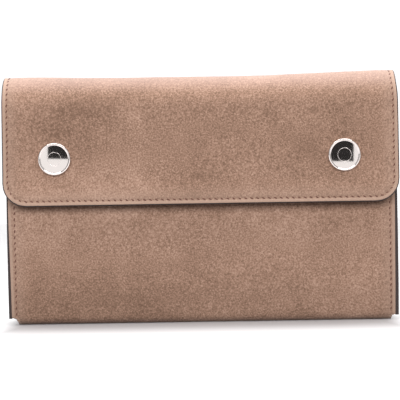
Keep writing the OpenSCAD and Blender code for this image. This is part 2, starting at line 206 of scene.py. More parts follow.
class Shader:
    def __init__(self, name):
        self.material = bpy.data.materials.new(name)
        self.material.use_nodes = True
        self.tree = self.material.node_tree
        self.principled = self.tree.nodes["Principled BSDF"]
        self.place = self.add("ShaderNodeTexCoord", {}, {}, "Object")

    def put(self, socket, value):
        if isinstance(value, Wire):
            self.tree.links.new(value.socket, socket)
        else:
            socket.default_value = value

    def add(self, kind, settings, inputs, output=0):
        """Adds a node: its settings first, then the values or links of its sockets."""
        node = self.tree.nodes.new(kind)
        for key, value in settings.items():
            if key == "stops":
                ramp = node.color_ramp
                while len(ramp.elements) < len(value):
                    ramp.elements.new(0.5)
                for element, (position, stop) in zip(ramp.elements, value):
                    element.position, element.color = position, stop
            else:
                setattr(node, key, value)
        for key, value in inputs.items():
            self.put(node.inputs[key], value)
        return Wire(self, node.outputs[output])

    def math(self, operation, *values):
        return self.add("ShaderNodeMath", {"operation": operation}, dict(enumerate(values)))

    def axes(self):
        """The place's X, Y and Z."""
        node = self.add("ShaderNodeSeparateXYZ", {}, {"Vector": self.place}).socket.node
        return [Wire(self, node.outputs[axis]) for axis in "XYZ"]

    def noise(self, size, detail=2.0, stretch=None, rough=0.55):
        """Noise whose grains are about size metres, stretched by a vector where one is given."""
        where = self.place
        if stretch:
            where = self.add("ShaderNodeMapping", {}, {"Vector": where, "Scale": stretch})
        grain = {"Vector": where, "Scale": 1.0 / size, "Detail": detail, "Roughness": rough}
        return self.add("ShaderNodeTexNoise", {}, grain, "Fac")

    def mix(self, factor, low, high):
        return self.add("ShaderNodeMix", {"data_type": "RGBA"}, {0: factor, 6: low, 7: high}, 2)

    def attribute(self, name):
        return self.add("ShaderNodeAttribute", {"attribute_name": name}, {}, "Fac")

    def band(self, value, low, high):
        """0 below low, 1 above high, smooth between."""
        limits = {"Value": value, "From Min": low, "From Max": high}
        return self.add("ShaderNodeMapRange", {"interpolation_type": "SMOOTHSTEP"}, limits, "Result")

    def bump(self, height, distance, strength=1.0, normal=None):
        inputs = {"Height": height, "Distance": distance, "Strength": strength}
        if normal:
            inputs["Normal"] = normal
        return self.add("ShaderNodeBump", {}, inputs, "Normal")

    def finish(self, **sockets):
        for name, value in sockets.items():
            self.put(self.principled.inputs[name.replace("_", " ")], value)
        return self.material


MATERIALS = {}
CROWN_SHEEN = (0.60, 0.445, 0.41, 1)  # painted highlight: the pale pink sheen the nap catches along the crown of the roll, where it is also rubbed pale


def scaled(tint, factor):
    """A colour made darker or paler."""
    return tuple(min(1.0, value * factor) for value in tint[:3]) + (1,)


def suede(name, dark, mid, light, rim):
    """Brushed suede: faint clouds, short nap and fine fibres, paler and smoother at its margins (rubbing and a
    painted highlight), with painted shade along the stitching, over the upper part and towards the base, and a
    painted sheen along the crown.
    """
    s = Shader(name)
    clouds = s.noise(0.050, 3.0)
    patches = s.noise(0.009, 2.0)
    nap = s.noise(0.0022, 1.0)
    fibres = s.noise(0.00085, 2.0, None, 0.8)
    tone = 0.5 + 0.55 * (clouds - 0.5) + 0.20 * (patches - 0.5) + 0.10 * (nap - 0.5) + 1.45 * (fibres - 0.5)
    height = s.axes()[2]
    # Painted shade: the suede darkens above 60 mm, over the flap and roll, and darkens again towards the base below
    # 45 mm
    tone = tone - 0.12 * s.band(height, 0.060, 0.100) - 0.13 * (1 - s.band(height, 0.0, 0.045))
    base = s.add("ShaderNodeValToRGB", {"stops": [(0.15, dark), (0.5, mid), (0.85, light)]}, {"Fac": tone}, "Color")
    # Painted highlight: the crown of the roll, above 115 mm, turns towards the pale sheen tint
    base = s.mix(s.band(height, 0.115, 0.125) * 0.26, base, CROWN_SHEEN)
    margin = s.attribute("edge_mm")
    # Paler within 11 mm of the edges, and paler still outside the stitching: partly rubbed suede, partly a painted
    # highlight
    base = s.mix((1 - s.band(margin, 2.0, 11.0)) * 0.30, base, rim)
    on_edge = 1 - s.band(margin, 1.6, 2.3)
    # Painted shade: a faint darkening along the stitched groove
    groove_shade = s.band(margin, 1.8, 2.4) * (1 - s.band(margin, 2.8, 3.5))
    base = s.mix(on_edge * 0.75, base, rim)
    base = s.mix(groove_shade * 0.10, base, dark)
    grain = s.bump(fibres, 0.00018, 0.55, s.bump(patches, 0.0008, 0.2))
    return s.finish(
        Base_Color=base,
        Roughness=0.95,
        Specular_IOR_Level=0.12,
        Sheen_Weight=0.38,
        Sheen_Roughness=0.45,
        Sheen_Tint=(1.0, 0.88, 0.82, 1),
        Normal=grain,
    )


def edge_paint():
    """Dark painted edge, slightly glossy and a little uneven."""
    s = Shader("edge_paint")
    blobs = s.noise(0.0018, 2.0)
    paint = tuple(leather().paint)
    return s.finish(
        Base_Color=s.mix(blobs, paint, scaled(paint, 2.2)),
        Roughness=0.42 + 0.2 * blobs,
        Specular_IOR_Level=0.28,
        Normal=s.bump(blobs, 0.0002, 0.4),
    )


def smooth_hide(name, tint):
    """Smooth lining leather with a fine pebbled grain."""
    s = Shader(name)
    pebble = {"Vector": s.place, "Scale": 1 / 0.0009}
    pebbles = s.add("ShaderNodeTexVoronoi", {"feature": "SMOOTH_F1"}, pebble, "Distance")
    clouds = s.noise(0.018, 3.0)
    return s.finish(
        Base_Color=s.mix(clouds * 0.7 + pebbles * 0.3, scaled(tint, 0.72), scaled(tint, 1.28)),
        Roughness=0.52 + 0.15 * clouds,
        Specular_IOR_Level=0.35,
        Normal=s.bump(1 - pebbles, 0.00012, 0.5),
    )


def cloth(name, tint, thread_mm, contrast):
    """Plain woven cloth: two sets of threads crossing on X and Z."""
    s = Shader(name)
    across, along, up = s.axes()
    turn = math.pi / (thread_mm * MM)
    warp = s.math("SINE", (across + along) * turn)
    weft = s.math("SINE", (up + along) * turn)
    weave = 0.5 + 0.5 * warp * weft
    slub = s.noise(0.004, 2.0, (1.0, 1.0, 0.2))
    return s.finish(
        Base_Color=s.mix(weave * contrast + slub * (1 - contrast), scaled(tint, 0.55), scaled(tint, 1.5)),
        Roughness=0.72,
        Specular_IOR_Level=0.3,
        Sheen_Weight=0.15,
        Normal=s.bump(weave, 0.00012, 0.6),
    )


def waxed_thread():
    """Twisted waxed thread, its darkness partly painted shade of the needle holes."""
    s = Shader("waxed_thread")
    ply = s.noise(0.00035, 1.0)
    tint = tuple(thread().colour)
    base = s.mix(ply, scaled(tint, 0.6), scaled(tint, 1.5))
    return s.finish(Base_Color=base, Roughness=0.55, Specular_IOR_Level=0.35, Normal=s.bump(ply, 0.00012, 0.6))


def plated(name, tint, rough, scratch):
    """Plated metal with hairline wear."""
    s = Shader(name)
    hair = s.noise(0.0006, 2.0, (0.12, 1.0, 1.0))
    smudge = s.noise(0.004, 2.0)
    return s.finish(
        Base_Color=s.mix(smudge * 0.35, tuple(tint), scaled(tint, 0.88)),
        Metallic=1.0,
        Roughness=rough + scratch * hair * smudge,
        Normal=s.bump(hair, 0.00001, scratch),
    )


def fibre_board(name, tint):
    """Pressed fibre, for the hidden stiffener."""
    s = Shader(name)
    fibre = s.noise(0.0009, 3.0, (0.3, 1.0, 1.0))
    base = s.mix(fibre, scaled(tint, 0.7), tint)
    return s.finish(Base_Color=base, Roughness=0.85, Normal=s.bump(fibre, 0.0002, 0.5))


def build_materials():
    """Makes every material once, before the pieces."""
    look, metals = leather(), metal()
    nap = [tuple(tint) for tint in (look.nap_dark, look.nap_mid, look.nap_light, look.margin)]
    nickel, zip_metal = tuple(metals.nickel), tuple(metals.zip_metal)
    MATERIALS.update(
        suede=suede("suede", *nap),
        gusset_suede=suede("gusset_suede", *(scaled(tint, 0.8) for tint in nap)),
        paint=edge_paint(),
        lining=smooth_hide("lining_hide", tuple(look.lining)),
        tape=cloth("zip_tape_weave", (0.045, 0.030, 0.024, 1), 0.6, 0.7),
        thread=waxed_thread(),
        nickel=plated("polished_nickel", nickel, 0.015, 0.02),
        satin=plated("satin_nickel", scaled(nickel, 0.62), 0.36, 0.06),
        zip_metal=plated("zip_nickel", zip_metal, 0.20, 0.18),
        board=fibre_board("fibre_board", (0.46, 0.35, 0.22, 1)),
    )


# ---------------------------------------------------------------- mesh helpers


def smooth(value, low, high):
    """Smooth step from 0 at low to 1 at high."""
    t = max(0.0, min(1.0, (value - low) / (high - low)))
    return t * t * (3 - 2 * t)


def spaced(start, end, step):
    """Evenly spaced values from start to end, about step apart."""
    count = max(1, round(abs(end - start) / step))
    return [start + (end - start) * i / count for i in range(count + 1)]


def columns(half, step=3.2):
    """Places across a sheet, close together at its stitched edges."""
    left = [-half + inset for inset in SEAM_STEPS]
    return left + spaced(left[-1], -left[-1], step)[1:-1] + [-x for x in reversed(left)]


def cleaned(bm, sharp=math.radians(38)):
    """Smooth shading, but for edges that turn by more than sharp."""
    for face in bm.faces:
        face.smooth = True
    for edge in bm.edges:
        edge.smooth = len(edge.link_faces) == 2 and edge.calc_face_angle(0.0) < sharp
    return bm


def piece(name, bm, materials, replaced, body=None):
    """Turns a bmesh in millimetres into a finished piece in metres."""
    bmesh.ops.scale(bm, vec=(MM, MM, MM), verts=bm.verts)
    mesh = bpy.data.meshes.new(name)
    bm.to_mesh(mesh)
    bm.free()
    for key in materials:
        mesh.materials.append(MATERIALS[key])
    obj = bpy.data.objects.new(name, mesh)
    bpy.context.scene.collection.objects.link(obj)
    if body:
        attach(obj, body)
    if replaced:
        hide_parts(*replaced)
    return obj


def stitched_dip(inset, line):
    """How far the leather is pulled in, inset from its edge, by stitching at line."""
    look = leather()
    groove = math.exp(-(((inset - line) / (look.groove_half / MM)) ** 2)) * look.groove_depth / MM
    pillow = 0.14 * smooth(inset, line, line + 5.0)
    return pillow - groove


def waves(x, along, amount):
    """Slow unevenness of soft leather, in millimetres."""
    return amount * noise.noise(Vector((x * 0.021, along * 0.034, 3.7))) + 0.35 * amount * noise.noise(
        Vector((x * 0.07, along * 0.09, 9.1))
    )


def sheet(
    xs, path, shape, thickness, keep_ends, corner=None, shift=None, mats=(0, 1, 2), over=0.0, round_sides=True
):
    """A leather sheet with rounded edges.

    xs are places across it, path its (y, z, ny, nz, run) stations with outward normals,
    shape the rise above the path, corner an optional mapping of (x, run) for round corners,
    and shift an optional move of x. An end marked in keep_ends meets another sheet, mats are
    the slots of its outside, inside and edges, and over is how far a painted seam reaches
    beyond the sheet at its sides.
    """
    bm = bmesh.new()
    nx, ns = len(xs) - 1, len(path) - 1
    bmesh.ops.create_grid(bm, x_segments=nx, y_segments=ns, size=1)
    margin = bm.verts.layers.float.new("edge_mm")
    ends = set()
    for vert in bm.verts:
        i, j = round((vert.co.x + 1) / 2 * nx), round((vert.co.y + 1) / 2 * ns)
        x, (y, z, ny, nz, run) = xs[i], path[j]
        inset, down = xs[-1] + over - abs(x), 0.0
        if corner:
            x, down, inset = corner(x, run)
        vert[margin] = inset
        rise = shape(x, run, inset)
        if shift:
            x = shift(x, run, z)
        vert.co = Vector((x, y + ny * rise, z + nz * rise + down))
        at_end = (j == 0 and keep_ends[0]) or (j == ns and keep_ends[1])
        if at_end or (not round_sides and i in (0, nx) and j not in (0, ns)):
            ends.add(vert)
    bm.normal_update()
    y, z, ny, nz, _ = path[ns // 2]
    nearest = min(bm.faces, key=lambda face: (face.calc_center_median() - Vector((0, y, z))).length)
    if nearest.normal.dot(Vector((0, ny, nz))) < 0:
        bmesh.ops.reverse_faces(bm, faces=bm.faces[:])
        bm.normal_update()
    outer = set(bm.verts)
    bmesh.ops.solidify(bm, geom=bm.faces[:], thickness=thickness)
    bm.normal_update()
    for face in bm.faces:
        count = sum(v in outer for v in face.verts)
        face.material_index = mats[0] if count == len(face.verts) else mats[1] if count == 0 else mats[2]
        face.tag = 0 < count < len(face.verts)
    inner = [v for v in bm.verts if v not in outer]
    ends.update([v for v in inner if any(e.other_vert(v) in ends for e in v.link_edges)])
    rims = [
        e for e in bm.edges
        if len(e.link_faces) == 2 and e.link_faces[0].tag != e.link_faces[1].tag and not ends.issuperset(e.verts)
    ]
    made = bmesh.ops.bevel(
        bm, geom=rims, offset=min(leather().edge_round / MM, thickness * 0.42), offset_type="OFFSET",
        affect="EDGES", segments=3, profile=0.5, material=-1, clamp_overlap=True,
    )
    for face in made["faces"]:
        face.material_index = mats[2]
    bm.normal_update()
    return cleaned(bm)


def walk(points):
    """Adds the running length to (y, z, ny, nz) stations."""
    path, run = [], 0.0
    for k, (y, z, ny, nz) in enumerate(points):
        if k:
            run += math.dist((y, z), (points[k - 1][0], points[k - 1][1]))
        path.append((y, z, ny, nz, run))
    return path


def arc(cy, cz, r, start, end, step):
    """Stations round an arc in the Y-Z plane, degrees from +Y towards +Z."""
    return [
        (cy + r * math.cos(a), cz + r * math.sin(a), math.cos(a), math.sin(a))
        for a in (math.radians(d) for d in spaced(start, end, step))
    ]


def case_half(z, side=-1):
    """Half width of the case at a height: narrower towards the base, fuller on its +X side."""
    low = smooth(60 - z, 0, 60)
    return CASE_HALF - 0.20 - 0.30 * low + 0.20 * smooth(z, 60, 100) + (0.7 + 0.30 * low if side > 0 else 0.0)


def seam_paint(x, z):
    """How far the edge paint reaches over the side seam at a height."""
    return 0.80 + 0.75 * smooth(70 - z, 0, 62) + (0.30 + 0.25 * smooth(z, 10, 60) if x > 0 else 0.0)


def wall_rise(x, z, front):
    """Rise of the case's front or back wall: fullest near the middle, flat where it is held."""
    top = FRONT_TOP if front else ROLL_Z
    loose = smooth(z, 3.0, 22.0) * (1 - smooth(z, top - 14, top - 1))
    if not front:
        return 0.5 * loose + waves(x + 300, z, 0.34) * loose
    snapped = math.exp(-((math.hypot(abs(x) - SNAP_X, z - SNAP_Z) / 11.0) ** 2))
    full = 1.5 * smooth(z, -4.0, 20.0) * (1 - 0.5 * smooth(z, 16, 60)) * (1 - smooth(z, 56, 96))
    return (full + waves(x, z, 0.34) * loose) * (1 - snapped)


def top_rise(x):
    """The rolled top stands a little higher towards its ends, and most at +X."""
    return 0.10 + 2.1 * smooth(x, 10.0, 115.0) + 0.95 * smooth(-x, 40.0, 90.0)


def shoulder(run):
    """Fullness where the roll turns into the flap, run mm below (or, negative, above) their joint."""
    return 0.8 * smooth(run, -12, 17)


def roll_shape(x, angle, inset):
    """Rise of the rolled leather above its plain arc, at an angle from the back."""
    lift = math.sin(math.radians(angle)) ** 2
    run = math.radians(angle) * ROLL_R - math.pi * ROLL_R
    return top_rise(x) * lift + shoulder(run) + waves(x, run, 0.22) + stitched_dip(inset, FLAP_SEAM)


def roll_half(x, angle):
    """Half width of the roll, from the case's at the back to the flap's, its +X end drawn in at the crown."""
    back = case_half(ROLL_Z, x)
    tuck = 0.5 * smooth(angle, 0, 45) * (1 - smooth(angle, 125, 175)) if x > 0 else 0.0
    return back + (FLAP_HALF - back) * smooth(angle, 0, 150) - tuck


def stitch(bm, at, along, out, slant, long, thick):
    """One plump stitch: a long bead lying on the leather with its ends pulled in."""
    side = along.cross(out).normalized()
    lean = (along * math.cos(slant) + side * math.sin(slant)).normalized()
    cross = out.cross(lean).normalized()
    turn = Matrix((lean, cross, out)).transposed().to_4x4()
    shape = Matrix.Diagonal((long / 2, thick / 2, thick * 0.42, 1))
    lying = Matrix.Rotation(math.pi / 2, 4, "Y")
    placed = Matrix.Translation(at + out * thick * 0.10) @ turn @ shape @ lying
    bmesh.ops.create_uvsphere(bm, u_segments=8, v_segments=6, radius=1.0, matrix=placed)


def stitches(bm, line, slant):
    """Stitches along a line of (point, out) stations, at the thread's pitch."""
    t = thread()
    pitch, long, thick = t.pitch / MM, t.stitch / MM, t.thick / MM
    lengths = [0.0]
    for (a, _), (b, _) in zip(line, line[1:]):
        lengths.append(lengths[-1] + (b - a).length)
    count = max(1, round(lengths[-1] / pitch))
    k = 0
    for n in range(count):
        want = (n + 0.5) * (lengths[-1] / count)
        while lengths[k + 1] < want:
            k += 1
        f = (want - lengths[k]) / (lengths[k + 1] - lengths[k])
        at = line[k][0].lerp(line[k + 1][0], f)
        out = line[k][1].lerp(line[k + 1][1], f).normalized()
        along = (line[k + 1][0] - line[k][0]).normalized()
        stitch(bm, at, along, out, slant, long, thick)


def spin(bm, profile, steps, centre, axis_out):
    """Turns a profile of (radius, height) round an axis along axis_out (-Y or +Y) through centre."""
    verts = [bm.verts.new(Vector(centre) + Vector((r, axis_out * h, 0))) for r, h in profile]
    edges = [bm.edges.new(pair) for pair in zip(verts, verts[1:])]
    bmesh.ops.spin(
        bm, geom=verts + edges, cent=centre, axis=(0, 1, 0), angle=math.tau, steps=steps, use_merge=True
    )


def closed(bm):
    """Merges doubles and turns all faces outwards."""
    bmesh.ops.remove_doubles(bm, verts=bm.verts[:], dist=0.002)
    bmesh.ops.recalc_face_normals(bm, faces=bm.faces[:])
    return bm


# ---------------------------------------------------------------- operators


class WALLET_OT_case(bpy.types.Operator):
    """Front wall, folded base and back wall, in one sheet of suede"""

    bl_idname = "wallet.case"
    bl_label = "Case leather"

    def execute(self, context):
        front = [(FRONT_Y, z, -1.0, 0.0) for z in spaced(FRONT_TOP, BASE_R, 2.6)]
        lower = arc(FRONT_Y + BASE_R, BASE_R, BASE_R, 180, 270, 9)
        base = [(y, 0.0, 0.0, -1.0) for y in spaced(FRONT_Y + BASE_R, BACK_Y - BASE_R, 3.0)]
        rear = arc(BACK_Y - BASE_R, BASE_R, BASE_R, 270, 360, 9)
        back = [(BACK_Y, z, 1.0, 0.0) for z in spaced(BASE_R, ROLL_Z, 2.6)]
        path = walk(front + lower[1:] + base[1:] + rear[1:] + back[1:])
        half, half_run = CASE_HALF - SEAM_OVER, path[-1][4] / 2
        height = {run: z for _, z, _, _, run in path}

        def shift(x, run, z):
            """Follows the painted seam, and notches the corners of the base."""
            if x > 0:
                notch = smooth(2.75 - z, 0.0, 0.45) * 1.9 + smooth(2.2 - z, 0.0, 2.2) * 0.45
            else:
                notch = smooth(3.75 - z, 0.0, 0.30) * 2.5 + smooth(3.4 - z, 0.0, 2.6) * 1.0
            notch *= smooth(abs(x), CASE_HALF - 14, half)
            return x * (case_half(z, x) - seam_paint(x, z) + 0.25) / half - math.copysign(notch, x)

        def shape(x, run, _):
            z = height[run]
            inset = case_half(z, x) - abs(shift(x, run, z))
            lift = 0.15 * smooth(-x, 0.0, CASE_HALF) * (1 - smooth(z, 0.0, 3.0))
            return wall_rise(x, z, run < half_run) + stitched_dip(inset, CASE_SEAM) * smooth(z, 1.5, 5.0) - lift

        bm = sheet(
            columns(half), path, shape, LEATHER, (False, True), shift=shift, mats=(0, 0, 1), over=SEAM_OVER,
            round_sides=False,
        )
        for face in bm.faces:
            if face.calc_center_median().z < 5:
                face.material_index = 0
        replaced = ("front_panel", "base_fold", "back_panel")
        obj = piece("case_leather", bm, ("suede", "paint"), replaced, CASE)
        2 * half_run * MM
        self.seams()
        return {"FINISHED"}

    def seams(self):
        """Painted edges over the leather, gusset and lining at both sides, front and back."""
        bm = bmesh.new()
        deep = LEATHER + GUSSET_T + LINING_T
        outside, inside = map(math.radians, range(0, 91, 18)), map(math.radians, range(90, 181, 30))
        rounded = [(1 - 0.9 + 0.9 * math.sin(a), 0.86 - 0.9 * math.cos(a)) for a in outside]
        tail = [(1 - 0.5 + 0.5 * math.sin(a), deep - 0.5 + 0.5 * math.sin(a - math.pi / 2)) for a in inside]
        ring = [(0.0, -0.04)] + rounded + tail + [(0.0, deep)]
        for side, low in ((-1, 3.25), (1, 2.3)):
            for front, face, out, top in ((True, FRONT_Y, -1, FRONT_TOP - 0.25), (False, BACK_Y, 1, ROLL_Z)):
                heights = [low] + spaced(low + 0.6, top, 3.0)
                nu, nv = len(ring) - 1, len(heights) - 1
                made = bmesh.ops.create_grid(bm, x_segments=nu, y_segments=nv, size=1)
                for vert in made["verts"]:
                    u, v = ring[round((vert.co.x + 1) / 2 * nu)]
                    z = heights[round((vert.co.y + 1) / 2 * nv)]
                    half, wide = case_half(z, side), seam_paint(side, z)
                    rise = wall_rise(side * (half - 0.6), z, front) + stitched_dip(0.6, CASE_SEAM)
                    vert.co = Vector((side * (half - wide + u * wide), face + out * (rise - v), z))
                upright = [e for e in self.border(made) if abs(e.verts[0].co.z - e.verts[1].co.z) > 1.0]
                bmesh.ops.bridge_loops(bm, edges=upright)
                bmesh.ops.holes_fill(bm, edges=self.border(made), sides=0)
        bmesh.ops.recalc_face_normals(bm, faces=bm.faces[:])
        piece("seam_edges", cleaned(bm), ("paint",), (), CASE)

    def border(self, made):
        """The open edges of new vertices, in order and once each."""
        return list(dict.fromkeys(e for v in made["verts"] for e in v.link_edges if len(e.link_faces) == 1))


class WALLET_OT_roll(bpy.types.Operator):
    """Rolled top: four sheets, leather outside and lining inside"""

    bl_idname = "wallet.roll"
    bl_label = "Rolled top"

    def execute(self, context):
        for n, node in enumerate((None, "roll_back", "roll_top", "roll_front")):
            start, end = 45.0 * n, 45.0 * (n + 1)
            path = walk(arc(ROLL_Y, ROLL_Z, ROLL_R, start, end, 3.75))
            total = path[-1][4]

            def angle_at(run, start=start, total=total):
                return start + 45.0 * run / total

            def shape(x, run, inset, angle_at=angle_at):
                return roll_shape(x, angle_at(run), inset)

            def shift(x, run, z, angle_at=angle_at):
                return x * roll_half(x, angle_at(run)) / FLAP_HALF

            bm = sheet(columns(FLAP_HALF), path, shape, SKIN, (True, True), shift=shift)
            replaced = (node, f"{node}_lining") if node else ()
            obj = piece(f"roll_leather_{n + 1}", bm, ("suede", "lining", "paint"), replaced)
            total * MM
            self.bend(obj, n)
            self.sew(n, start, end)
        return {"FINISHED"}

    def bend(self, obj, n):
        """Bakes a piece's transform into its mesh."""
        for degrees in (45.0 * n, 45.0 * (n + 1)):
            a = math.radians(degrees)
            (ROLL_Y + ROLL_R * math.cos(a)) * MM
            (ROLL_Z + ROLL_R * math.sin(a)) * MM
        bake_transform(obj)

    def sew(self, n, start, end):
        """Stitches both ends of the roll's sheet n."""
        bm, t = bmesh.new(), thread()
        inset = t.flap_inset / MM + 0.1
        for side in (-1, 1):
            line = []
            for degrees in spaced(start, end, 3.0):
                a = math.radians(degrees)
                x = side * (roll_half(side, degrees) - inset)
                rise = roll_shape(x, degrees, inset)
                out = Vector((0, math.cos(a), math.sin(a)))
                line.append((Vector((x, ROLL_Y, ROLL_Z)) + out * (ROLL_R + rise), out))
            stitches(bm, line, t.slant)
        obj = piece(f"roll_stitching_{n + 1}", cleaned(bm), ("thread",), ())
        self.bend(obj, n)


def flap_corner(x, run):
    """Rounds the flap's lower corners: (x, drop from the plain grid, inset from the edge)."""
    r = leather().corner_r / MM
    cx, cz = FLAP_HALF - r, FLAP_DROP - r
    u, v = (abs(x) - cx) / r, (run - cz) / r
    if u > 0 and v > 0:
        reach = max(u, v)
        scale = reach / math.hypot(u, v)
        return math.copysign(cx + u * scale * r, x), run - (cz + v * scale * r), r * (1 - reach)
    return x, 0.0, min(FLAP_HALF - abs(x), FLAP_DROP - run)


def flap_rise(x, down, inset):
    """Rise of the flap's leather above its flat, at a distance below the roll."""
    soft = smooth(down, 0.0, 14.0)
    near_snap = sum(
        math.exp(-((math.hypot(x - side * SNAP_X, ROLL_Z - down - SNAP_Z) / 13.0) ** 2)) for side in (-1, 1)
    )
    flare = 0.9 * smooth(down, 10.0, FLAP_DROP + 12.0) + 0.7 * smooth(down, FLAP_DROP - 15, FLAP_DROP + 2)
    held = max(0.0, 1 - near_snap)
    loose = (flare + waves(x, down, 0.22 * soft)) * held + shoulder(down) * max(held, 1 - smooth(down, 8, 20))
    return loose + waves(x, down, 0.22) + stitched_dip(inset, FLAP_SEAM)


class WALLET_OT_flap(bpy.types.Operator):
    """The hanging flap and its stitching"""

    bl_idname = "wallet.flap"
    bl_label = "Flap"

    def execute(self, context):
        downs = spaced(0, FLAP_DROP - SEAM_STEPS[-1], 2.2) + [FLAP_DROP - i for i in reversed(SEAM_STEPS[:-1])]
        path = walk([(FLAP_Y, ROLL_Z - d, -1.0, 0.0) for d in downs])
        bm = sheet(columns(FLAP_HALF, 2.4), path, flap_rise, SKIN, (True, False), corner=flap_corner)
        replaced = ("flap_leather", "flap_lining")
        obj = piece("flap_leather_sheet", bm, ("suede", "lining", "paint"), replaced, FLAP)
        FLAP_DROP * MM
        self.sew()
        return {"FINISHED"}

    def sew(self):
        """Stitches round the flap's sides and lower edge."""
        t, r = thread(), leather().corner_r / MM
        inset = t.flap_inset / MM + 0.1
        x_in, bend_r = FLAP_HALF - inset, r - inset
        flat = []
        for side in (-1, 1):
            run = [(side * x_in, d) for d in spaced(0, FLAP_DROP - r, 2.0)]
            centre = (side * (FLAP_HALF - r), FLAP_DROP - r)
            turn = [
                (centre[0] + side * bend_r * math.cos(a), centre[1] + bend_r * math.sin(a))
                for a in (math.radians(d) for d in spaced(0, 90, 6))
            ]
            flat.append(run + turn[1:])
        bottom = [(x, FLAP_DROP - inset) for x in spaced(-FLAP_HALF + r, FLAP_HALF - r, 4.0)]
        outline = flat[0] + bottom[1:-1] + list(reversed(flat[1]))
        out = Vector((0, -1, 0))
        line = [(Vector((x, FLAP_Y - flap_rise(x, d, inset), ROLL_Z - d)), out) for x, d in outline]
        bm = bmesh.new()
        stitches(bm, line, t.slant)
        piece("flap_stitching", cleaned(bm), ("thread",), ("flap_thread",), FLAP)


class WALLET_OT_case_stitching(bpy.types.Operator):
    """Stitching down both side seams, front and back"""

    bl_idname = "wallet.case_stitching"
    bl_label = "Side stitching"

    def execute(self, context):
        bm, t = bmesh.new(), thread()
        inset = t.case_inset / MM
        for side in (-1, 1):
            for y, sign, top in ((FRONT_Y, -1, FRONT_TOP - 2), (BACK_Y, 1, ROLL_Z)):
                out = Vector((0, sign, 0))
                line = []
                for z in spaced(4.2, top, 3.0):
                    x = side * (case_half(z, side) - inset)
                    rise = wall_rise(x, z, sign < 0) + stitched_dip(inset, CASE_SEAM)
                    line.append((Vector((x, y + sign * rise, z)), out))
                stitches(bm, line, t.slant * (-sign) * 0.6)
        piece("side_stitching", cleaned(bm), ("thread",), ("body_thread",), CASE)
        return {"FINISHED"}


def curve_through(bends, steps=7, pull=0.28):
    """A smooth line through (inwards, y) points, pulled towards their neighbours."""
    line = []
    for k in range(len(bends) - 1):
        a, b = Vector(bends[k]), Vector(bends[k + 1])
        t0 = (b - Vector(bends[max(k - 1, 0)])) * pull
        t1 = (Vector(bends[min(k + 2, len(bends) - 1)]) - a) * pull
        for f in (n / steps for n in range(steps)):
            ends = a * (2 * f**3 - 3 * f**2 + 1) + t0 * (f**3 - 2 * f**2 + f)
            line.append(ends + b * (3 * f**2 - 2 * f**3) + t1 * (f**3 - f**2))
    return line + [Vector(bends[-1])]


class WALLET_OT_gussets(bpy.types.Operator):
    """Pleated side walls"""

    bl_idname = "wallet.gussets"
    bl_label = "Gussets"

    def execute(self, context):
        low, high = frame_mm("gusset_left")
        depth0, depth1 = FRONT_Y + LEATHER, BACK_Y - LEATHER
        mid = (frame_mm("zip_wall_front")[0][1] + frame_mm("zip_wall_back")[1][1]) / 2
        pleat_front = depth0 + (mid - depth0) * 0.42
        pleat_back = depth1 - (depth1 - mid) * 0.42
        line = curve_through([
            (0.5, depth0 + GUSSET_T * 0.55), (6.2, depth0 + GUSSET_T * 0.6), (12.0, pleat_front), (8.3, mid),
            (12.0, pleat_back), (6.2, depth1 - GUSSET_T * 0.6), (0.5, depth1 - GUSSET_T * 0.55),
        ])
        heights = [1.55, 2.3, 3.0] + spaced(low[2] - 0.3, high[2] - 0.4, 4.0)
        for side, name in ((-1, "gusset_left"), (1, "gusset_right")):
            bm = bmesh.new()
            nx, nz = len(line) - 1, len(heights) - 1
            bmesh.ops.create_grid(bm, x_segments=nx, y_segments=nz, size=1)
            margin = bm.verts.layers.float.new("edge_mm")
            for vert in bm.verts:
                i, j = round((vert.co.x + 1) / 2 * nx), round((vert.co.y + 1) / 2 * nz)
                (inwards, y), z = line[i], heights[j]
                foot = 1 - smooth(z, 2.3, 4.2)
                inwards = min(max(inwards, 3.9 * foot), 8.4 + 3.6 * smooth(z, 3.0, 12.0))
                y = mid + (y - mid) * (1 - 0.19 * (1 - smooth(z, 1.4, 4.4)))
                fold = smooth(inwards, 5.0, 12.0)
                top_dip = 3.5 * fold * smooth(z, high[2] - 14, high[2])
                pinch = 0.5 * noise.noise(Vector((z * 0.06, y * 0.15, side * 5.0))) * fold
                vert[margin] = PLAIN
                vert.co = Vector((side * (case_half(z, side) - inwards - pinch), y, z - top_dip))
            bmesh.ops.recalc_face_normals(bm, faces=bm.faces[:])
            bmesh.ops.solidify(bm, geom=bm.faces[:], thickness=GUSSET_T * 0.5)
            bmesh.ops.recalc_face_normals(bm, faces=bm.faces[:])
            obj = piece(f"{name}_sheet", cleaned(bm), ("gusset_suede",), (name,), CASE)
            across = sum((b - a).length for a, b in zip(line, line[1:]))
            tall = heights[-1] - heights[0]
            tall * MM
        return {"FINISHED"}


def flat_panel(name, low, high, finish, replaced, round_by):
    """An upright or lying panel with softened edges, of lining or suede."""
    bm = bmesh.new()
    size = [b - a for a, b in zip(low, high)]
    middle = Vector([(a + b) / 2 for a, b in zip(low, high)])
    bmesh.ops.create_cube(bm, size=1.0, matrix=Matrix.Translation(middle) @ Matrix.Diagonal((*size, 1)))
    for axis in (0, 2):
        for at in spaced(low[axis], high[axis], 6.0)[1:-1]:
            point, normal = [0, 0, 0], [0, 0, 0]
            point[axis], normal[axis] = at, 1
            bmesh.ops.bisect_plane(
                bm, geom=bm.verts[:] + bm.edges[:] + bm.faces[:], plane_co=point, plane_no=normal
            )
    edges = [e for e in bm.edges if e.calc_face_angle(0.0) > 1.0]
    bmesh.ops.bevel(
        bm, geom=edges, offset=round_by, affect="EDGES", segments=2, profile=0.5, material=-1, clamp_overlap=True
    )
    margin = bm.verts.layers.float.new("edge_mm")
    for vert in bm.verts:
        vert[margin] = PLAIN
    obj = piece(name, cleaned(bm), (finish,), replaced, CASE)
    depth = max(high[1] - low[1], high[2] - low[2])
    (high[0] - low[0]) * MM
    depth * MM


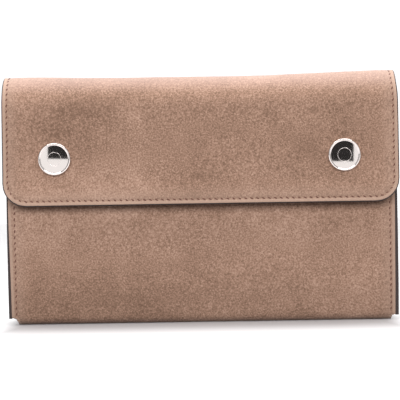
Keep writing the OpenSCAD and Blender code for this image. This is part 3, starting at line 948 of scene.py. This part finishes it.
class WALLET_OT_linings(bpy.types.Operator):
    """Linings of the front wall, the back wall and the base"""

    bl_idname = "wallet.linings"
    bl_label = "Linings"

    def execute(self, context):
        low, high = frame_mm("front_lining")
        low[1] = FRONT_Y + LEATHER - 0.7
        high[2] -= 0.3
        flat_panel("front_lining_cloth", low, high, "lining", ("front_lining", "front_interlining"), 0.3)
        low, high = frame_mm("back_lining")
        high[2] = ROLL_Z
        low[1] = BACK_Y - SKIN
        flat_panel("back_lining_cloth", low, high, "lining", ("back_lining",), 0.3)
        flat_panel("base_lining_cloth", *frame_mm("base_lining"), "lining", ("base_lining",), 0.3)
        return {"FINISHED"}


class WALLET_OT_cards(bpy.types.Operator):
    """Three tiers of card slots with turned edges, and their centre seam"""

    bl_idname = "wallet.cards"
    bl_label = "Card slots"

    def execute(self, context):
        for node in ("card_tier_low", "card_tier_mid", "card_tier_high"):
            flat_panel(f"{node}_leather", *frame_mm(node), "suede", (node,), 0.22)
        low, high = frame_mm("card_thread")
        bm = bmesh.new()
        out = Vector((0, -1, 0))
        line = [(Vector((0, high[1] - 0.05, z)), out) for z in spaced(low[2], high[2], 4.0)]
        stitches(bm, line, 0.0)
        piece("card_stitching", cleaned(bm), ("thread",), ("card_thread",), CASE)
        return {"FINISHED"}


class WALLET_OT_snaps(bpy.types.Operator):
    """Snap caps, sockets and studs, turned in plated metal"""

    bl_idname = "wallet.snaps"
    bl_label = "Snaps"

    def execute(self, context):
        (s_low, s_high), (t_low, t_high) = frame_mm("snap_sockets"), frame_mm("snap_studs")
        cap = self.cap(CAP_R, FLAP_Y - CAP_Y)
        socket = self.socket((s_high[2] - s_low[2]) / 2, s_high[1] - s_low[1])
        stud = self.stud((t_high[2] - t_low[2]) / 2, FRONT_Y - t_low[1])
        for name, profile, steps, y, out, finish, node, body in (
            ("snap_caps_polished", cap, 96, FLAP_Y, -1, "nickel", "snap_caps", FLAP),
            ("snap_sockets_satin", socket, 48, s_low[1], 1, "satin", "snap_sockets", FLAP),
            ("snap_studs_satin", stud, 48, FRONT_Y, -1, "satin", "snap_studs", CASE),
        ):
            bm = bmesh.new()
            for side in (-1, 1):
                spin(bm, profile, steps, (side * SNAP_X - 0.55, y, SNAP_Z), out)
            piece(name, cleaned(closed(bm), math.radians(50)), (finish,), (node,), body)
        return {"FINISHED"}

    def cap(self, r, h):
        """A rolled rim round a flat, slightly sunk face with one raised ring."""
        face, bead = h - 0.40, 0.48
        turn, half_turn = map(math.radians, range(0, 151, 10)), map(math.radians, range(0, 181, 20))
        rim = [(r - bead + bead * math.cos(a), h - bead + bead * math.sin(a)) for a in turn]
        field = [(r - 0.99, h - 0.33), (r - 1.06, h - 0.37)]
        field += [(at, face) for at in (r - 1.14, r - 1.22, 5.5, 3.66, 3.58)]
        ring = [(3.42 + 0.10 * math.cos(a), face + 0.08 * math.sin(a)) for a in half_turn]
        middle = [(at, face) for at in (3.26, 3.18, 2.4, 1.2, 0.0)]
        return [(0.0, -0.2), (r - 0.3, -0.2), (r, 0.25), (r, h - 0.85)] + rim + field + ring + middle

    def stud(self, r, h):
        """A flanged post with a rounded head."""
        return [
            (0, -0.3), (r - 0.15, -0.3), (r, 0.2), (r - 0.1, 0.42), (r - 0.4, 0.5), (2.6, 0.5), (2.15, 0.62),
            (2.1, h - 1.0), (2.5, h - 0.55), (2.42, h - 0.2), (2.1, h - 0.03), (1.6, h), (0, h),
        ]

    def socket(self, r, h):
        """A ring round a blind hole that takes the stud's head."""
        hole = r - 2.8
        return [
            (0, 0.1), (hole - 0.1, 0.1), (hole, h - 0.35), (hole + 0.15, h - 0.08), (hole + 0.4, h), (r - 1.0, h),
            (r - 0.5, h - 0.1), (r - 0.15, h - 0.4), (r, 0.3), (r, -0.1), (0, -0.1),
        ]


class WALLET_OT_zip(bpy.types.Operator):
    """Finishes of the zip pocket, its tapes, teeth, slider and pull, and of the hidden board and washers"""

    bl_idname = "wallet.zip"
    bl_label = "Zip pocket"

    def execute(self, context):
        for finish, nodes in {
            "lining": ("zip_wall_front", "zip_wall_back"),
            "tape": ("zip_tape_front", "zip_tape_back"),
            "zip_metal": ("zip_teeth_front", "zip_teeth_back", "zip_stops", "zip_slider", "zip_pull"),
            "board": ("base_board",),
            "nickel": ("snap_washers",),
        }.items():
            for node in nodes:
                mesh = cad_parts[node].data
                mesh.materials.clear()
                mesh.materials.append(MATERIALS[finish])
        return {"FINISHED"}


class WALLET_OT_stage(bpy.types.Operator):
    """Floor, soft light and camera"""

    bl_idname = "wallet.stage"
    bl_label = "Stage"

    def execute(self, context):
        scene = context.scene
        scene.view_settings.view_transform = "Standard"
        self.sky(scene)
        up, back, front = (0, 0, 1), (0, 1, 0), (0, -1, 0)
        floor = self.plate("floor", (0, 0, 0), up, (12, 12), (0.40, 0.387, 0.393), 0.52, 0.5, near=0.062)
        floor.visible_diffuse = floor.visible_shadow = False
        shade = self.plate("under_floor", (0, 0, -0.0006), up, (12, 12), (0.18, 0.165, 0.165), 0.0, 0.9)
        shade.visible_camera = shade.visible_glossy = False
        self.plate("backdrop", (0, 1.9, 0.9), front, (6, 4), (0.8, 0.8, 0.8), 0.8, 0.9)
        # Two cards that only reflections see give the polished caps their dark and pale halves
        dark = self.plate(
            "dark_card", (0.0022, -0.79, 0.1545), back, (0.3108, 0.124), (0.012, 0.011, 0.011), 0.0, 0.6, lean=1.4
        )
        pale = self.plate("white_card", (0, -0.80, 0.30), back, (1.8, 1.1), (0.02, 0.02, 0.02), 0.98, 0.9)
        for card in (dark, pale):
            card.visible_camera = card.visible_diffuse = card.visible_shadow = False
        self.lamp("top_light", (0.0, 0.06, 0.85), (0.0, 0.0, 0.05), (1.1, 0.7), 13.5)
        lamp = self.lamp("front_light", (0.0, -1.02, 0.55), (0.0, 0.0, 0.07), (1.7, 0.60), 16.0)
        lamp.visible_glossy = False
        self.camera(scene)
        return {"FINISHED"}

    def sky(self, scene):
        """Even, faint light from all round."""
        world = bpy.data.worlds.new("studio")
        world.use_nodes = True
        background = world.node_tree.nodes["Background"]
        background.inputs["Color"].default_value = (1, 1, 1, 1)
        background.inputs["Strength"].default_value = 0.22
        scene.world = world

    def plate(self, name, at, face, size, tint, glow, rough, lean=0.0, near=0.0):
        """A flat stage board, leaned by some degrees. Its glow fades within near metres of the wallet, which paints
        a contact shadow round it.
        """
        s = Shader(f"{name}_board")
        grain = s.noise(0.08, 2.0)
        shine = (1, 1, 1, 1)
        # Painted shadow: the glow is masked to black close to the wallet
        if near:
            across, along = (s.math("ABSOLUTE", axis) for axis in s.axes()[:2])
            past = s.math("MAXIMUM", (across - 0.089) * 4.0, along - 0.016)
            shine = s.mix(s.band(past, near * 0.1, near), (0, 0, 0, 1), (1, 1, 1, 1))
        s.finish(
            Base_Color=s.mix(grain, scaled(tint, 0.98), scaled(tint, 1.0)), Roughness=rough,
            Specular_IOR_Level=0.2, Emission_Color=shine, Emission_Strength=glow,
        )
        bm = bmesh.new()
        facing = Vector(face).to_track_quat("Z", "Y").to_matrix().to_4x4()
        turn = Matrix.Rotation(math.radians(lean), 4, face) @ facing
        shape = Matrix.Diagonal((size[0] / 2, size[1] / 2, 1, 1))
        placed = Matrix.Translation(at) @ turn @ shape
        bmesh.ops.create_grid(bm, x_segments=1, y_segments=1, size=1.0, matrix=placed)
        mesh = bpy.data.meshes.new(name)
        bm.to_mesh(mesh)
        bm.free()
        mesh.materials.append(s.material)
        board = bpy.data.objects.new(name, mesh)
        bpy.context.scene.collection.objects.link(board)
        return board

    def lamp(self, name, at, aim, size, power):
        """A soft rectangular light, turned towards a point."""
        data = bpy.data.lights.new(name, "AREA")
        data.shape, data.size, data.size_y, data.energy = "RECTANGLE", size[0], size[1], power
        lamp = bpy.data.objects.new(name, data)
        lamp.location = at
        lamp.rotation_euler = (Vector(aim) - Vector(at)).to_track_quat("-Z", "Y").to_euler()
        lamp.visible_camera = False
        bpy.context.scene.collection.objects.link(lamp)
        return lamp

    def camera(self, scene):
        """A long lens in front of the flap, nearly level."""
        distance, pitch, roll = 0.76, math.radians(0.75), math.radians(-0.93)
        aim = Vector((-0.0006, FLAP_Y * MM, 0.0621))
        ahead = Vector((0, math.cos(pitch), -math.sin(pitch)))
        right = Vector((1, 0, 0)) * math.cos(roll) + Vector((1, 0, 0)).cross(ahead) * math.sin(roll)
        up = right.cross(ahead)
        data = bpy.data.cameras.new("camera")
        data.sensor_width = 36.0
        data.lens = 135.7
        data.clip_start, data.clip_end = 0.01, 50.0
        camera = bpy.data.objects.new("camera", data)
        turn = Matrix((right, up, -ahead)).transposed()
        camera.matrix_world = Matrix.Translation(aim - ahead * distance) @ turn.to_4x4()
        scene.collection.objects.link(camera)
        scene.camera = camera


class WALLET_PT_panel(bpy.types.Panel):
    """Builds the wallet piece by piece"""

    bl_label = "Flap Wallet"
    bl_idname = "WALLET_PT_panel"
    bl_space_type = "VIEW_3D"
    bl_region_type = "UI"
    bl_category = "Wallet"

    def draw(self, context):
        for group in (leather(), thread(), metal()):
            box = self.layout.box()
            for key in group.bl_rna.properties.keys():
                if key not in ("rna_type", "name"):
                    box.prop(group, key)
        for step in STEPS:
            self.layout.operator(step.bl_idname)


STEPS = (
    WALLET_OT_case,
    WALLET_OT_roll,
    WALLET_OT_flap,
    WALLET_OT_case_stitching,
    WALLET_OT_gussets,
    WALLET_OT_linings,
    WALLET_OT_cards,
    WALLET_OT_snaps,
    WALLET_OT_zip,
    WALLET_OT_stage,
)
GROUPS = {"wallet_leather": WalletLeather, "wallet_thread": WalletThread, "wallet_metal": WalletMetal}


def register():
    for item in (*GROUPS.values(), *STEPS, WALLET_PT_panel):
        bpy.utils.register_class(item)
    for key, group in GROUPS.items():
        setattr(bpy.types.Scene, key, bpy.props.PointerProperty(type=group))


def unregister():
    for key in GROUPS:
        delattr(bpy.types.Scene, key)
    for item in reversed((*GROUPS.values(), *STEPS, WALLET_PT_panel)):
        bpy.utils.unregister_class(item)


def main():
    """Builds the wallet and its stage."""
    register()
    build_materials()
    for step in STEPS:
        area, name = step.bl_idname.split(".")
        getattr(getattr(bpy.ops, area), name)()


if __name__ == "__main__":
    main()
